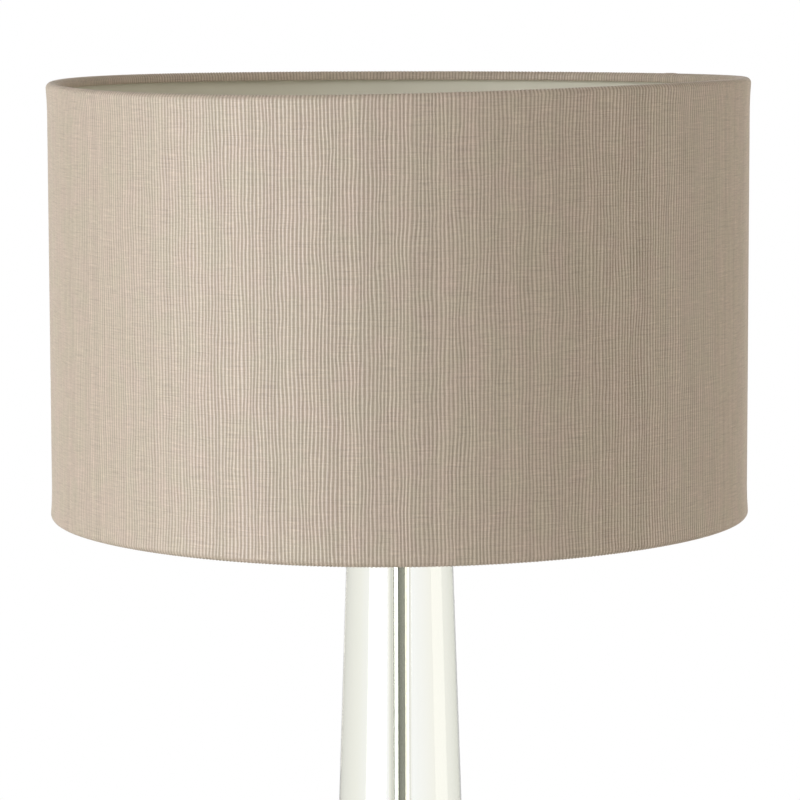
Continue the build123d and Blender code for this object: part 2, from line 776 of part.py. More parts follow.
terminal_screw_shape = pan_screw(
    terminal_screw_diameter,
    terminal_screw_length,
    terminal_screw_head,
    terminal_screw_head_length,
)
with BuildPart() as holder_screws:
    with Locations(terminal_screw_axis.offset(screw_head_y)):
        with GridLocations(terminal_spacing, 0, 2, 1):
            add(terminal_screw_shape)

# ----------------------------------- lampholder: threaded skirt, shell, contact
skirt_threads = int((skirt_top - cup_top) / skirt_thread_pitch)
root_radius = skirt_radius - skirt_thread_depth
with BuildPart() as holder_skirt:
    with BuildSketch(Plane.XY.offset(skirt_z)):
        Circle(skirt_radius)
    extrude(amount=skirt_height)
    with BuildSketch(Plane.XY.offset(skirt_z)):
        Circle(skirt_bore / 2)
    extrude(amount=skirt_height, mode=Mode.SUBTRACT)
    with BuildSketch(Plane.XY.offset(skirt_z)):
        Circle(cup_radius + thread_clearance)
    extrude(amount=skirt_lap_length, mode=Mode.SUBTRACT)
    # The thread is turned as plain grooves of its pitch and depth, each with
    # a flat root and flanks that open outwards.
    with BuildSketch(Plane.XZ):
        for turn in range(skirt_threads):
            groove_z = cup_top + (turn + 0.5) * skirt_thread_pitch
            with BuildLine():
                Polyline(
                    (skirt_radius + skirt_thread_depth, groove_z - 1.5 * skirt_thread_depth),
                    (root_radius, groove_z - skirt_thread_depth / 2),
                    (root_radius, groove_z + skirt_thread_depth / 2),
                    (skirt_radius + skirt_thread_depth, groove_z + 1.5 * skirt_thread_depth),
                    close=True,
                )
            make_face()
    revolve(axis=Axis.Z, mode=Mode.SUBTRACT)

bulb_thread_radius = bulb_thread_diameter / 2
shell_crest = bulb_thread_radius + socket_clearance
shell_middle = shell_crest + bulb_thread_depth / 2
shell_outer = shell_crest + bulb_thread_depth + screw_shell_wall
shell_top = cup_top + screw_shell_height
shell_waves = int((screw_shell_height - screw_shell_plain) / bulb_thread_pitch)
shell_wave_z = shell_top - shell_waves * bulb_thread_pitch - bulb_thread_pitch / 4

with BuildPart() as screw_shell:
    with BuildSketch(Plane.XZ):
        with BuildLine():
            Polyline(
                (shell_middle, shell_wave_z),
                (shell_middle, cup_top + screw_shell_wall),
                (screw_shell_eye / 2, cup_top + screw_shell_wall),
                (screw_shell_eye / 2, cup_top),
                (shell_outer, cup_top),
                (shell_outer, shell_top),
                (shell_middle, shell_top),
                (shell_middle, shell_wave_z + shell_waves * bulb_thread_pitch),
            )
            for turn in range(shell_waves):
                wave_z = shell_wave_z + turn * bulb_thread_pitch
                ThreePointArc(
                    (shell_middle, wave_z),
                    (shell_middle - bulb_thread_depth / 2, wave_z + bulb_thread_pitch / 4),
                    (shell_middle, wave_z + bulb_thread_pitch / 2),
                )
                ThreePointArc(
                    (shell_middle, wave_z + bulb_thread_pitch / 2),
                    (shell_middle + bulb_thread_depth / 2, wave_z + 3 * bulb_thread_pitch / 4),
                    (shell_middle, wave_z + bulb_thread_pitch),
                )
        make_face()
    revolve(axis=Axis.Z)

# A leaf spring that rises to the bulb's tip through the shell's eye.
leaf_start = contact_foot_inset - screw_shell_eye / 2
leaf_end = contact_tip_x + contact_tip_length
leaf_top = cup_top + contact_rise_height
with BuildPart() as centre_contact:
    with BuildSketch(Plane.XZ):
        with BuildLine():
            Polyline(
                (leaf_start, cup_top),
                (contact_bend_x, cup_top),
                (contact_tip_x, leaf_top),
                (leaf_end, leaf_top),
                (leaf_end, leaf_top + contact_thickness),
                (contact_tip_x - contact_slant, leaf_top + contact_thickness),
                (contact_bend_x - contact_slant, cup_top + contact_thickness),
                (leaf_start, cup_top + contact_thickness),
                close=True,
            )
        make_face()
    extrude(amount=contact_width / 2, both=True)

# ---------------------------------------------------------------------- switch
knob_near = cup_radius + knob_gap
bar_left = -(knob_near + bar_travel + knob_length)
bar_right = knob_near + knob_length
bar_length = bar_right - bar_left - 2 * bar_inset

with BuildPart() as switch_bar:
    with BuildSketch(bar_axis.offset(bar_left + bar_inset)):
        Circle(bar_radius)
    extrude(amount=bar_length)

with BuildPart() as switch_knobs:
    with BuildSketch(bar_axis.offset(knob_near)):
        Circle(knob_diameter / 2)
    extrude(amount=knob_length)
    with BuildSketch(bar_axis.offset(bar_left)):
        Circle(knob_diameter / 2)
    extrude(amount=knob_length)
    fillet(switch_knobs.edges().group_by(Axis.X)[0], knob_edge_radius)
    fillet(switch_knobs.edges().group_by(Axis.X)[-1], knob_edge_radius)
    with BuildSketch(bar_axis.offset(bar_left + bar_inset)):
        Circle(bar_radius + thread_clearance)
    extrude(amount=bar_length, mode=Mode.SUBTRACT)

# ----------------------------------------------------------------- shade rings
lower_shade_ring = fluted_ring(lower_ring_z, lower_ring_height)
upper_shade_ring = fluted_ring(upper_ring_z, upper_ring_height)

# -------------------------------------------------------------- shade: carrier
# The cranked spokes are welded under the plate and onto the lower rim wire.
rim_low = shade_z + hem_outer_arc
rim_high = shade_top - hem_outer_arc
spoke_radius = spoke_diameter / 2
spoke_z = carrier_z - weld_clearance - spoke_radius
spoke_foot = rim_low + rim_wire_radius + weld_clearance
spoke_end = carrier_diameter / 2 - spoke_weld_length

shade_carrier = annulus(
    carrier_diameter / 2,
    skirt_radius + carrier_clearance,
    carrier_thickness,
    carrier_z,
)

with BuildPart() as spoke:
    with BuildLine(Plane.XZ) as spoke_way:
        FilletPolyline(
            (wire_centre, spoke_foot),
            (wire_centre, spoke_z),
            (spoke_end, spoke_z),
            radius=spoke_bend_radius,
        )
    with BuildSketch(Plane(origin=(wire_centre, 0, spoke_foot))):
        Circle(spoke_radius)
    sweep(path=spoke_way.line)

with BuildPart() as shade_spokes:
    with PolarLocations(0, spoke_count, start_angle=90):
        add(spoke.part)


def rim_wire(height):
    """A round wire ring inside the shade's hem, its joint away from the seam."""
    with BuildPart() as wire:
        with BuildSketch(Plane.XZ.rotated((0, 0, rim_joint_angle))):
            with Locations((wire_centre, height)):
                Circle(rim_wire_radius)
        revolve(axis=Axis.Z)
    return wire


lower_wire = rim_wire(rim_low)
upper_wire = rim_wire(rim_high)

# ----------------------------------------------------- shade: lining and cloth
shade_lining = annulus(lining_outer, lining_inner, rim_high - rim_low, rim_low)
seam_arc = degrees(seam_width / shade_radius)

with BuildPart() as shade_fabric:
    with BuildSketch(Plane.XY.offset(rim_low)):
        Circle(shade_radius)
        Circle(lining_outer, mode=Mode.SUBTRACT)
    extrude(amount=rim_high - rim_low)
    with BuildSketch(Plane.XZ.rotated((0, 0, seam_angle - seam_arc / 2))):
        with Locations((shade_radius, (rim_low + rim_high) / 2)):
            Rectangle(2 * seam_lap_thickness, rim_high - rim_low)
    revolve(axis=Axis.Z, revolution_arc=seam_arc)

# The cloth rolls over each rim wire to a tucked end, one thickness throughout.
hem_inside = hem_centre - hem_outer_arc
hem_cloth = hem_inside + fabric_thickness


def rolled_hem(roll_z, up):
    """The cloth rolled over a rim wire, from the wall to the tucked end.

    The roll begins at roll_z, and up is 1 at the shade's top and -1 below."""
    end_z = roll_z + up * (hem_outer_arc - hem_depth)
    with BuildPart() as hem:
        with BuildSketch(Plane.XZ):
            with BuildLine():
                ThreePointArc(
                    (shade_radius, roll_z),
                    (hem_centre, roll_z + up * hem_outer_arc),
                    (hem_inside, roll_z),
                )
                Polyline(
                    (hem_inside, roll_z),
                    (hem_inside, end_z),
                    (hem_cloth, end_z),
                    (hem_cloth, roll_z),
                )
                ThreePointArc(
                    (hem_cloth, roll_z),
                    (hem_centre, roll_z + up * hem_inner_arc),
                    (lining_outer, roll_z),
                )
                Line((lining_outer, roll_z), (shade_radius, roll_z))
            make_face()
        revolve(axis=Axis.Z)
    return hem


lower_hem = rolled_hem(rim_low, -1)
upper_hem = rolled_hem(rim_high, 1)

# ------------------------------------------------------------------------ bulb
cap_shell_z = bulb_z + bulb_contact_height / 2 + bulb_insulator_height
cap_top_z = bulb_z + bulb_cap_height
lip_z = cap_top_z - bulb_lip_height
contact_hole = bulb_contact_diameter / 2 + bulb_contact_clearance
thread_middle = bulb_thread_radius - bulb_thread_depth / 2
thread_root = bulb_thread_radius - bulb_thread_depth
cap_inside = thread_root - bulb_cap_wall
bulb_top = bulb_z + bulb_length
globe_z = bulb_top - bulb_globe_diameter / 2
neck_radius = bulb_neck_diameter / 2
thread_top_z = cap_shell_z + bulb_thread_turns * bulb_thread_pitch

with BuildPart() as bulb_contact:
    with BuildSketch(Plane.XY.offset(bulb_z)):
        Circle(bulb_contact_diameter / 2)
    extrude(amount=bulb_contact_height)
    fillet(bulb_contact.edges().sort_by(Axis.Z)[0], bulb_contact_height / 2)

with BuildPart() as bulb_insulator:
    with BuildSketch(Plane.XZ):
        with BuildLine():
            Polyline(
                (0, bulb_z + bulb_contact_height),
                (contact_hole, bulb_z + bulb_contact_height),
                (contact_hole, bulb_z + bulb_contact_height / 2),
                (bulb_tip_diameter / 2, bulb_z + bulb_contact_height / 2),
                (cap_inside, cap_shell_z),
                (0, cap_shell_z),
                close=True,
            )
        make_face()
    revolve(axis=Axis.Z)

with BuildPart() as bulb_cap:
    with BuildSketch(Plane.XZ):
        with BuildLine():
            Polyline(
                (thread_middle, thread_top_z),
                (thread_middle, lip_z),
                (neck_radius + bulb_lip_outside, cap_top_z),
                (neck_radius - bulb_lip_inside, cap_top_z),
                (cap_inside, lip_z - bulb_lip_inside),
                (cap_inside, cap_shell_z),
                (thread_middle, cap_shell_z),
            )
            for turn in range(bulb_thread_turns):
                wave_z = cap_shell_z + turn * bulb_thread_pitch
                ThreePointArc(
                    (thread_middle, wave_z),
                    (bulb_thread_radius, wave_z + bulb_thread_pitch / 4),
                    (thread_middle, wave_z + bulb_thread_pitch / 2),
                )
                ThreePointArc(
                    (thread_middle, wave_z + bulb_thread_pitch / 2),
                    (thread_root, wave_z + 3 * bulb_thread_pitch / 4),
                    (thread_middle, wave_z + bulb_thread_pitch),
                )
        make_face()
    revolve(axis=Axis.Z)

# The envelope: a neck that flares into the globe, one wall thick throughout.
# The flare is an arc that meets the neck and the globe smoothly.
globe_radius = bulb_globe_diameter / 2
flare_z = cap_top_z + bulb_wall
flare_drop = globe_z - flare_z
flare_radius = (neck_radius**2 + flare_drop**2 - globe_radius**2) / 2 / (globe_radius - neck_radius)
flare_middle = neck_radius + flare_radius
globe_centre = Vector(0, globe_z)
to_flare = (Vector(flare_middle, flare_z) - globe_centre).normalized()


def envelope_wall(inset):
    """Three points on the flare's and the globe's arcs, inset from the outside."""
    sweep_mid = Vector(flare_middle, flare_z) - (to_flare + Vector(1, 0)).normalized() * (
        flare_radius + inset
    )
    meeting = globe_centre + to_flare * (globe_radius - inset)
    return sweep_mid, meeting, Vector(globe_radius - inset, globe_z)


outer_flare, outer_meeting, outer_side = envelope_wall(0)
inner_flare, inner_meeting, inner_side = envelope_wall(bulb_wall)
with BuildPart() as bulb_envelope:
    with BuildSketch(Plane.XZ):
        with BuildLine():
            Line((neck_radius, cap_top_z), (neck_radius, flare_z))
            ThreePointArc((neck_radius, flare_z), outer_flare, outer_meeting)
            ThreePointArc(outer_meeting, outer_side, (0, bulb_top))
            Line((0, bulb_top), (0, bulb_top - bulb_wall))
            ThreePointArc((0, bulb_top - bulb_wall), inner_side, inner_meeting)
            ThreePointArc(inner_meeting, inner_flare, (neck_radius - bulb_wall, flare_z))
            Polyline(
                (neck_radius - bulb_wall, flare_z),
                (neck_radius - bulb_wall, cap_top_z),
                (neck_radius, cap_top_z),
            )
        make_face()
    revolve(axis=Axis.Z)

# ---------------------------------------------------------------------- export
pieces = {
    "felt_pad": felt_pad,
    "base_cover": base_cover,
    "cover_screws": cover_screws,
    "foot_shell": foot_shell,
    "foot_weight": foot_weight,
    "inlet_bush": inlet_bush,
    "terminal_block": terminal_block,
    "terminal_sleeves": terminal_sleeves,
    "terminal_screws": terminal_screws,
    "block_screw": block_screw,
    "earth_tag": earth_tag,
    "earth_screw": earth_screw,
    "live_lead": live_lead,
    "neutral_lead": neutral_lead,
    "earth_lead": earth_lead,
    "centre_tube": centre_tube,
    "bottom_nut": bottom_nut,
    "bottom_washer": bottom_washer,
    "foot_collar": foot_collar,
    "seat_gasket": seat_gasket,
    "glass_column": glass_column,
    "top_gasket": top_gasket,
    "top_cap": top_cap,
    "cap_washer": cap_washer,
    "clamp_nut": clamp_nut,
    "neck_sleeve": neck_sleeve,
    "holder_cup": holder_cup,
    "holder_insulator": holder_insulator,
    "holder_terminals": holder_terminals,
    "holder_screws": holder_screws,
    "holder_skirt": holder_skirt,
    "screw_shell": screw_shell,
    "centre_contact": centre_contact,
    "switch_bar": switch_bar,
    "switch_knobs": switch_knobs,
    "lower_shade_ring": lower_shade_ring,
    "upper_shade_ring": upper_shade_ring,
    "shade_carrier": shade_carrier,
    "shade_spokes": shade_spokes,
    "lower_wire": lower_wire,
    "upper_wire": upper_wire,
    "shade_lining": shade_lining,
    "shade_fabric": shade_fabric,
    "lower_hem": lower_hem,
    "upper_hem": upper_hem,
    "bulb_contact": bulb_contact,
    "bulb_insulator": bulb_insulator,
    "bulb_cap": bulb_cap,
    "bulb_envelope": bulb_envelope,
}

os.makedirs("parts", exist_ok=True)
for name, piece in pieces.items():
    piece.part.label = name
    export_step(piece.part, f"parts/{name}.step")

for name, (length, radii, volume) in lead_lengths.items():
    drawn = volume / (pi * lead_radius**2 * length)
    print(name, "lead, length", round(length, 1), "radii", radii, "volume ratio", round(drawn, 4))
print("shade from", shade_z, "to", shade_top)
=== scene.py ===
import json
from math import asin, cos, pi, radians, sin

import bpy
from mathutils import Matrix, Vector


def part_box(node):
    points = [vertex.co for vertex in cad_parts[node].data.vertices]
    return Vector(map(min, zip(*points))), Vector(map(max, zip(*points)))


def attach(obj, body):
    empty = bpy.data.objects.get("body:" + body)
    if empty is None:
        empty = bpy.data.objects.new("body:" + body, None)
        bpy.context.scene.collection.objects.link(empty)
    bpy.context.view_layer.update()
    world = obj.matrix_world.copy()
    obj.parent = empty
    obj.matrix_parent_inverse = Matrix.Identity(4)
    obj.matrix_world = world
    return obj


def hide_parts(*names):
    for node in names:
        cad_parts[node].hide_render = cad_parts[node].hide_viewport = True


# A table lamp: ribbed drum shade, clear glass column, polished tube inside it.
# Metres, +Z up, the lamp's front towards -Y. Sizes below are real sizes.
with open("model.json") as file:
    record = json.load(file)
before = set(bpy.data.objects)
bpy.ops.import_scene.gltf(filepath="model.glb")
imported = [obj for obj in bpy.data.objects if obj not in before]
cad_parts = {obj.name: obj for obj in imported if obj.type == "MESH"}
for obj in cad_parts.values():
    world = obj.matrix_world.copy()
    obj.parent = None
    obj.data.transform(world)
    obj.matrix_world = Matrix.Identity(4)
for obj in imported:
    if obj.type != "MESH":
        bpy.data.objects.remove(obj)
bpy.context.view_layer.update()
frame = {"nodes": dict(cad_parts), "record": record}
mm = 0.001


# ------------------------------------------------------------ small tools
def linear(colour):
    """An sRGB colour written #rrggbb, as the linear RGBA that a socket takes."""
    parts = [int(colour[i:i + 2], 16) / 255 for i in (1, 3, 5)]
    return tuple(
        c / 12.92 if c <= 0.04045 else ((c + 0.055) / 1.055) ** 2.4 for c in parts
    ) + (1.0,)


def add(tree, kind, inputs=(), **settings):
    """Adds a node with its settings. Its inputs come in order, or by name.

    An input is a value, another node's output, or a node for its first output."""
    node = tree.nodes.new(kind)
    for name, value in settings.items():
        setattr(node, name, value)
    for socket, value in inputs.items() if isinstance(inputs, dict) else enumerate(inputs):
        if isinstance(value, bpy.types.Node):
            value = value.outputs[0]
        if isinstance(value, bpy.types.NodeSocket):
            tree.links.new(value, node.inputs[socket])
        else:
            node.inputs[socket].default_value = value
    return node


def per(millimetres):
    """The scale of a pattern on metres whose features are that many mm apart."""
    return 1 / (millimetres * mm)


def new_material(name, **surface):
    """A material whose surface has those plain values, its tree and surface."""
    made = bpy.data.materials.new(name)
    made.use_nodes = True
    tree = made.node_tree
    tree.nodes.clear()
    shader = add(tree, "ShaderNodeBsdfPrincipled")
    for socket, value in surface.items():
        shader.inputs[socket.replace("_", " ")].default_value = value
    add(tree, "ShaderNodeOutputMaterial", {"Surface": shader})
    return made, tree, shader


# -------------------------------------------------------------- materials
def rib_cloth(name):
    """Taupe viscose rep, woven with round cords that run up the shade.

    The eye sees pale ridges 2.1 mm apart, valleys between them duller and
    painted darker as shade, fine crosswise threads with a few slubs, a dull bloom.
    The cloth's own map counts cords round the shade and cord spacings up it."""
    made, tree, shader = new_material(
        name,
        IOR=1.56,
        Specular_IOR_Level=1.0,
        Sheen_Weight=0.05,
        Sheen_Roughness=0.6,
        Sheen_Tint=linear("#efe6da"),
    )
    weave = add(tree, "ShaderNodeUVMap", uv_map="weave")
    count = add(tree, "ShaderNodeSeparateXYZ", (weave,))

    # The profile: 0 in the bottom of a valley and 1 on a cord's crest.
    turn = add(tree, "ShaderNodeMath", (count.outputs["X"], 2 * pi), operation="MULTIPLY")
    wave = add(tree, "ShaderNodeMath", (turn,), operation="COSINE")
    crest = add(tree, "ShaderNodeMath", (wave, -0.5, 0.5), operation="MULTIPLY_ADD")
    lit = add(
        tree,
        "ShaderNodeMapRange",
        {"Value": crest, "From Min": 0.10, "From Max": 0.85},
        interpolation_type="SMOOTHSTEP",
    )

    # The dye drifts between a pinker and a greener taupe over 15 mm.
    place = add(tree, "ShaderNodeTexCoord").outputs["Object"]
    cloud = add(tree, "ShaderNodeTexNoise", {"Vector": place, "Scale": per(15), "Detail": 3.0})
    drift = add(tree, "ShaderNodeMapRange", {"Value": cloud, "From Min": 0.35, "From Max": 0.65})
    # Valley and crest colours: the darker valley colour is painted shade, for the shadow down
    # between the cords.
    valley_shade_and_crest_colours = [
        add(
            tree,
            "ShaderNodeMix",
            {0: drift, 6: linear(pinker), 7: linear(greener)},
            data_type="RGBA",
        ).outputs[2]
        for pinker, greener in (("#b1a192", "#aea291"), ("#c8b7a9", "#c5b8a6"))
    ]
    tone = add(tree, "ShaderNodeMix", {0: lit, 6: valley_shade_and_crest_colours[0], 7: valley_shade_and_crest_colours[1]}, data_type="RGBA")

    # Each cord takes the dye a little differently.
    cord = add(tree, "ShaderNodeMath", (count.outputs["X"],), operation="FLOOR")
    own = add(tree, "ShaderNodeTexWhiteNoise", {"W": cord}, noise_dimensions="1D")
    strength = add(
        tree,
        "ShaderNodeMapRange",
        {"Value": own.outputs["Value"], "To Min": 0.95, "To Max": 1.05},
    )
    # A cord's long fibres shine along its crest. The valleys are matt.
    gloss = add(tree, "ShaderNodeMapRange", {"Value": lit, "To Min": 0.95, "To Max": 0.42})

    # Streaks on the map: how close across and along, how they fade in, how
    # much they lighten or darken. Crosswise threads, drawn 0.9 mm apart,
    # coarser than real so that they show; specks of light on the fibres; slubs,
    # threads that are thicker or thinner for 10 to 40 mm.
    streaks = {}
    for streak, across, along, detail, low, high, least, most in (
        ("threads", 0.35, 2.4, 2.0, 0.3, 0.7, 0.94, 1.06),
        ("specks", 3.0, 2.0, 1.0, 0.3, 0.7, 0.97, 1.03),
        ("thick_slubs", 0.12, 2.8, 0.0, 0.66, 0.76, 1.0, 1.09),
        ("thin_slubs", 0.10, 3.1, 0.0, 0.66, 0.76, 1.0, 0.90),
    ):
        way = add(tree, "ShaderNodeMapping", {"Vector": weave, "Scale": (across, along, 1.0)})
        noise = add(
            tree,
            "ShaderNodeTexNoise",
            {"Vector": way, "Scale": 1.0, "Detail": detail, "Roughness": 0.6},
            noise_dimensions="2D",
        )
        streaks[streak] = add(
            tree,
            "ShaderNodeMapRange",
            {"Value": noise, "From Min": low, "From Max": high, "To Min": least, "To Max": most},
        )
        strength = add(tree, "ShaderNodeMath", (strength, streaks[streak]), operation="MULTIPLY")
    dyed = add(
        tree,
        "ShaderNodeVectorMath",
        {0: tone.outputs[2], "Scale": strength},
        operation="SCALE",
    )
    relief = add(
        tree,
        "ShaderNodeMath",
        (streaks["threads"], streaks["thick_slubs"]),
        operation="ADD",
    )
    bump = add(tree, "ShaderNodeBump", {"Height": relief, "Strength": 0.4, "Distance": 1.2 * mm})
    tree.links.new(dyed.outputs[0], shader.inputs["Base Color"])
    tree.links.new(gloss.outputs[0], shader.inputs["Roughness"])
    tree.links.new(bump.outputs[0], shader.inputs["Normal"])
    return made


def metal(name, colour, worn, roughness, haze, scratch):
    """A metal finish: haze changes its gloss slowly, fine scratches cross it.

    The eye sees clean reflections that soften a little from place to place."""
    made, tree, shader = new_material(name, Metallic=1.0)
    place = add(tree, "ShaderNodeTexCoord").outputs["Object"]
    cloud = add(tree, "ShaderNodeTexNoise", {"Vector": place, "Scale": per(haze), "Detail": 3.0})
    tone = add(
        tree,
        "ShaderNodeMix",
        {0: cloud, 6: linear(colour), 7: linear(worn)},
        data_type="RGBA",
    )
    gloss = add(
        tree,
        "ShaderNodeMapRange",
        {
            "Value": cloud,
            "From Min": 0.3,
            "From Max": 0.7,
            "To Min": roughness * 0.8,
            "To Max": roughness * 1.25,
        },
    )
    lines = add(
        tree,
        "ShaderNodeTexNoise",
        {"Vector": place, "Scale": per(scratch), "Detail": 4.0, "Distortion": 0.6},
    )
    bump = add(
        tree,
        "ShaderNodeBump",
        {"Height": lines, "Strength": 0.3 * roughness, "Distance": 0.02 * mm},
    )
    tree.links.new(tone.outputs[2], shader.inputs["Base Color"])
    tree.links.new(gloss.outputs[0], shader.inputs["Roughness"])
    tree.links.new(bump.outputs[0], shader.inputs["Normal"])
    return made


def moulding(name, colour, dull, roughness, grain, ior=1.5):
    """A moulded or coated skin: a fine even grain, and gloss that varies.

    The eye sees one colour, a little deeper where the grain lies close."""
    made, tree, shader = new_material(name, IOR=ior)
    place = add(tree, "ShaderNodeTexCoord").outputs["Object"]
    pores = add(tree, "ShaderNodeTexNoise", {"Vector": place, "Scale": per(grain), "Detail": 2.0})
    cloud = add(tree, "ShaderNodeTexNoise", {"Vector": place, "Scale": per(25), "Detail": 2.0})
    tone = add(
        tree,
        "ShaderNodeMix",
        {0: cloud, 6: linear(colour), 7: linear(dull)},
        data_type="RGBA",
    )
    gloss = add(
        tree,
        "ShaderNodeMapRange",
        {
            "Value": cloud,
            "From Min": 0.3,
            "From Max": 0.7,
            "To Min": roughness * 0.85,
            "To Max": roughness * 1.15,
        },
    )
    bump = add(tree, "ShaderNodeBump", {"Height": pores, "Strength": 0.2, "Distance": 0.03 * mm})
    tree.links.new(tone.outputs[2], shader.inputs["Base Color"])
    tree.links.new(gloss.outputs[0], shader.inputs["Roughness"])
    tree.links.new(bump.outputs[0], shader.inputs["Normal"])
    return made


def glass_like(name, colour, dull, ior, clearness, roughness, wave):
    """A glass or clear rubber whose skin waves very slightly.

    The eye sees what is behind it, bent, or a milky white where it is less
    clear; the edges and the waves give it away."""
    made, tree, shader = new_material(name, IOR=ior, Transmission_Weight=clearness)
    place = add(tree, "ShaderNodeTexCoord").outputs["Object"]
    swell = add(tree, "ShaderNodeTexNoise", {"Vector": place, "Scale": per(wave), "Detail": 1.0})
    tone = add(
        tree,
        "ShaderNodeMix",
        {0: swell, 6: linear(colour), 7: linear(dull)},
        data_type="RGBA",
    )
    gloss = add(
        tree,
        "ShaderNodeMapRange",
        {"Value": swell, "To Min": roughness * 0.8, "To Max": roughness * 1.2},
    )
    bump = add(tree, "ShaderNodeBump", {"Height": swell, "Strength": 0.1, "Distance": 0.1 * mm})
    tree.links.new(tone.outputs[2], shader.inputs["Base Color"])
    tree.links.new(gloss.outputs[0], shader.inputs["Roughness"])
    tree.links.new(bump.outputs[0], shader.inputs["Normal"])
    return made


def needled_felt(name):
    """Black needled felt: short fibres lie every way, so it is dull and fuzzy."""
    made, tree, shader = new_material(name, Roughness=0.95, Sheen_Weight=0.4, Sheen_Roughness=0.5)
    place = add(tree, "ShaderNodeTexCoord").outputs["Object"]
    fibres = add(
        tree,
        "ShaderNodeTexNoise",
        {"Vector": place, "Scale": per(0.8), "Detail": 6.0, "Roughness": 0.7, "Distortion": 1.2},
    )
    tone = add(
        tree,
        "ShaderNodeMix",
        {0: fibres, 6: linear("#161618"), 7: linear("#3c3c40")},
        data_type="RGBA",
    )
    bump = add(tree, "ShaderNodeBump", {"Height": fibres, "Strength": 0.6, "Distance": 0.3 * mm})
    tree.links.new(tone.outputs[2], shader.inputs["Base Color"])
    tree.links.new(bump.outputs[0], shader.inputs["Normal"])
    return made


finishes = {
    "felt": needled_felt("needled_felt"),
    # Zinc plated steel, passivated: grey, cloudy, half dull.
    "zinc_steel": metal("zinc_plated_steel", "#c4c6c8", "#b4b7b6", 0.32, 9, 0.4),
    # Nickel plate on polished steel: warm silver, almost a mirror.
    "polished_nickel": metal("polished_nickel_plate", "#cdccc5", "#c5c4bc", 0.06, 30, 0.5),
    # Cast iron under black varnish: the rough skin of the sand mould.
    "cast_iron": moulding("varnished_cast_iron", "#232323", "#2e2c2a", 0.55, 1.2),
    # Nylon, injection moulded: even, half dull.
    "black_nylon": moulding("black_moulded_nylon", "#1b1b1c", "#202021", 0.45, 0.4, 1.53),
    "white_nylon": moulding("white_moulded_nylon", "#e4e3dc", "#dad8cf", 0.4, 0.4, 1.53),
    # Turned brass: bright yellow with faint tool lines.
    "brass": metal("turned_brass", "#d9bd7a", "#cfae66", 0.2, 6, 0.25),
    # Extruded sleeves of soft vinyl, half glossy.
    "brown_lead": moulding("brown_vinyl_sleeve", "#5b3420", "#4f2c1b", 0.38, 0.5),
    "blue_lead": moulding("blue_vinyl_sleeve", "#2a5bb0", "#254f9c", 0.38, 0.5),
    "green_lead": moulding("green_vinyl_sleeve", "#5f9a2f", "#528829", 0.38, 0.5),
    # Clear silicone rubber, moulded: clear but dull, so that it blurs.
    "clear_gasket": glass_like("clear_silicone_rubber", "#f4f5f2", "#eaece7", 1.41, 1.0, 0.3, 8),
    # Clear soda glass, cast solid and fire polished, the faintest green in it.
    "clear_glass": glass_like("fire_polished_glass", "#fdfefb", "#fbfdf9", 1.52, 1.0, 0.0, 40),
    # Phenolic resin, hot pressed: deep black with an even low gloss.
    "black_phenolic": moulding("black_phenolic_resin", "#141416", "#1a1a1b", 0.28, 0.6, 1.6),
    # Powder coat over steel wire: white with a fine orange-peel skin.
    "white_steel": moulding("white_powder_coat", "#e9e8e3", "#e0dfd9", 0.42, 0.8),
    # The stiff sheet that the cloth is laminated to: pale, smooth, half dull.
    "shade_lining": moulding("laminated_styrene_sheet", "#e6e4d6", "#dfddcf", 0.6, 1.5, 1.55),
    "taupe_cloth": rib_cloth("taupe_rep_cloth"),
    # Opal glass, blown and satin etched: white, soft edged, dull gloss.
    "opal_glass": glass_like("satin_opal_glass", "#f2f0ea", "#e9e7df", 1.5, 0.0, 0.34, 30),
    # Rolled aluminium: pale grey and a little dull.
    "bulb_tin": metal("rolled_aluminium", "#c9cacb", "#bfc0c0", 0.28, 5, 0.2),
    # Black glass, fused into the bulb's cap: glossy.
    "black_glass": moulding("black_fused_glass", "#0e0e10", "#121214", 0.12, 2.0, 1.52),
}
for entry in frame["record"]["subparts"]:
    mesh = frame["nodes"][entry["node"]].data
    mesh.materials.clear()
    mesh.materials.append(finishes[entry["material_slot"]])


# ------------------------------------------------------------- new pieces
def new_piece(name, mesh):
    """An object of that mesh in the scene."""
    piece = bpy.data.objects.new(name, mesh)
    bpy.context.scene.collection.objects.link(piece)
    return piece


def stand_in(piece, node, body):
    """The piece takes a node's place on its body."""
    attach(piece, body)
    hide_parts(node)


def node_group(name, sizes):
    """A geometry nodes tree with a named input for each size, and its inputs."""
    tree = bpy.data.node_groups.new(name, "GeometryNodeTree")
    for size, kind, value in sizes:
        socket = tree.interface.new_socket(size, in_out="INPUT", socket_type="NodeSocket" + kind)
        if value is not None:
            socket.default_value = value
    tree.interface.new_socket("Geometry", in_out="OUTPUT", socket_type="NodeSocketGeometry")
    return tree, add(tree, "NodeGroupInput").outputs


def finish_group(tree, geometry, material):
    """Ends a tree: smooth faces, plain mesh, its material."""
    smooth = add(tree, "GeometryNodeSetShadeSmooth", (geometry,))
    real = add(tree, "GeometryNodeRealizeInstances", (smooth,))
    faced = add(tree, "GeometryNodeSetMaterial", {"Geometry": real, "Material": material})
    add(tree, "NodeGroupOutput", (faced,))


def formed(name, start, tree, **sizes):
    """A piece that the tree forms from a starting mesh, with these sizes."""
    piece = new_piece(name, start)
    former = piece.modifiers.new("form", "NODES")
    former.node_group = tree
    for socket in tree.interface.items_tree:
        if socket.in_out == "INPUT" and socket.name in sizes:
            former[socket.identifier] = sizes[socket.name]
    graph = bpy.context.evaluated_depsgraph_get()
    mesh = bpy.data.meshes.new_from_object(
        piece.evaluated_get(graph), preserve_all_data_layers=True, depsgraph=graph
    )
    piece.modifiers.remove(former)
    piece.data = mesh
    mesh.name = name
    return piece


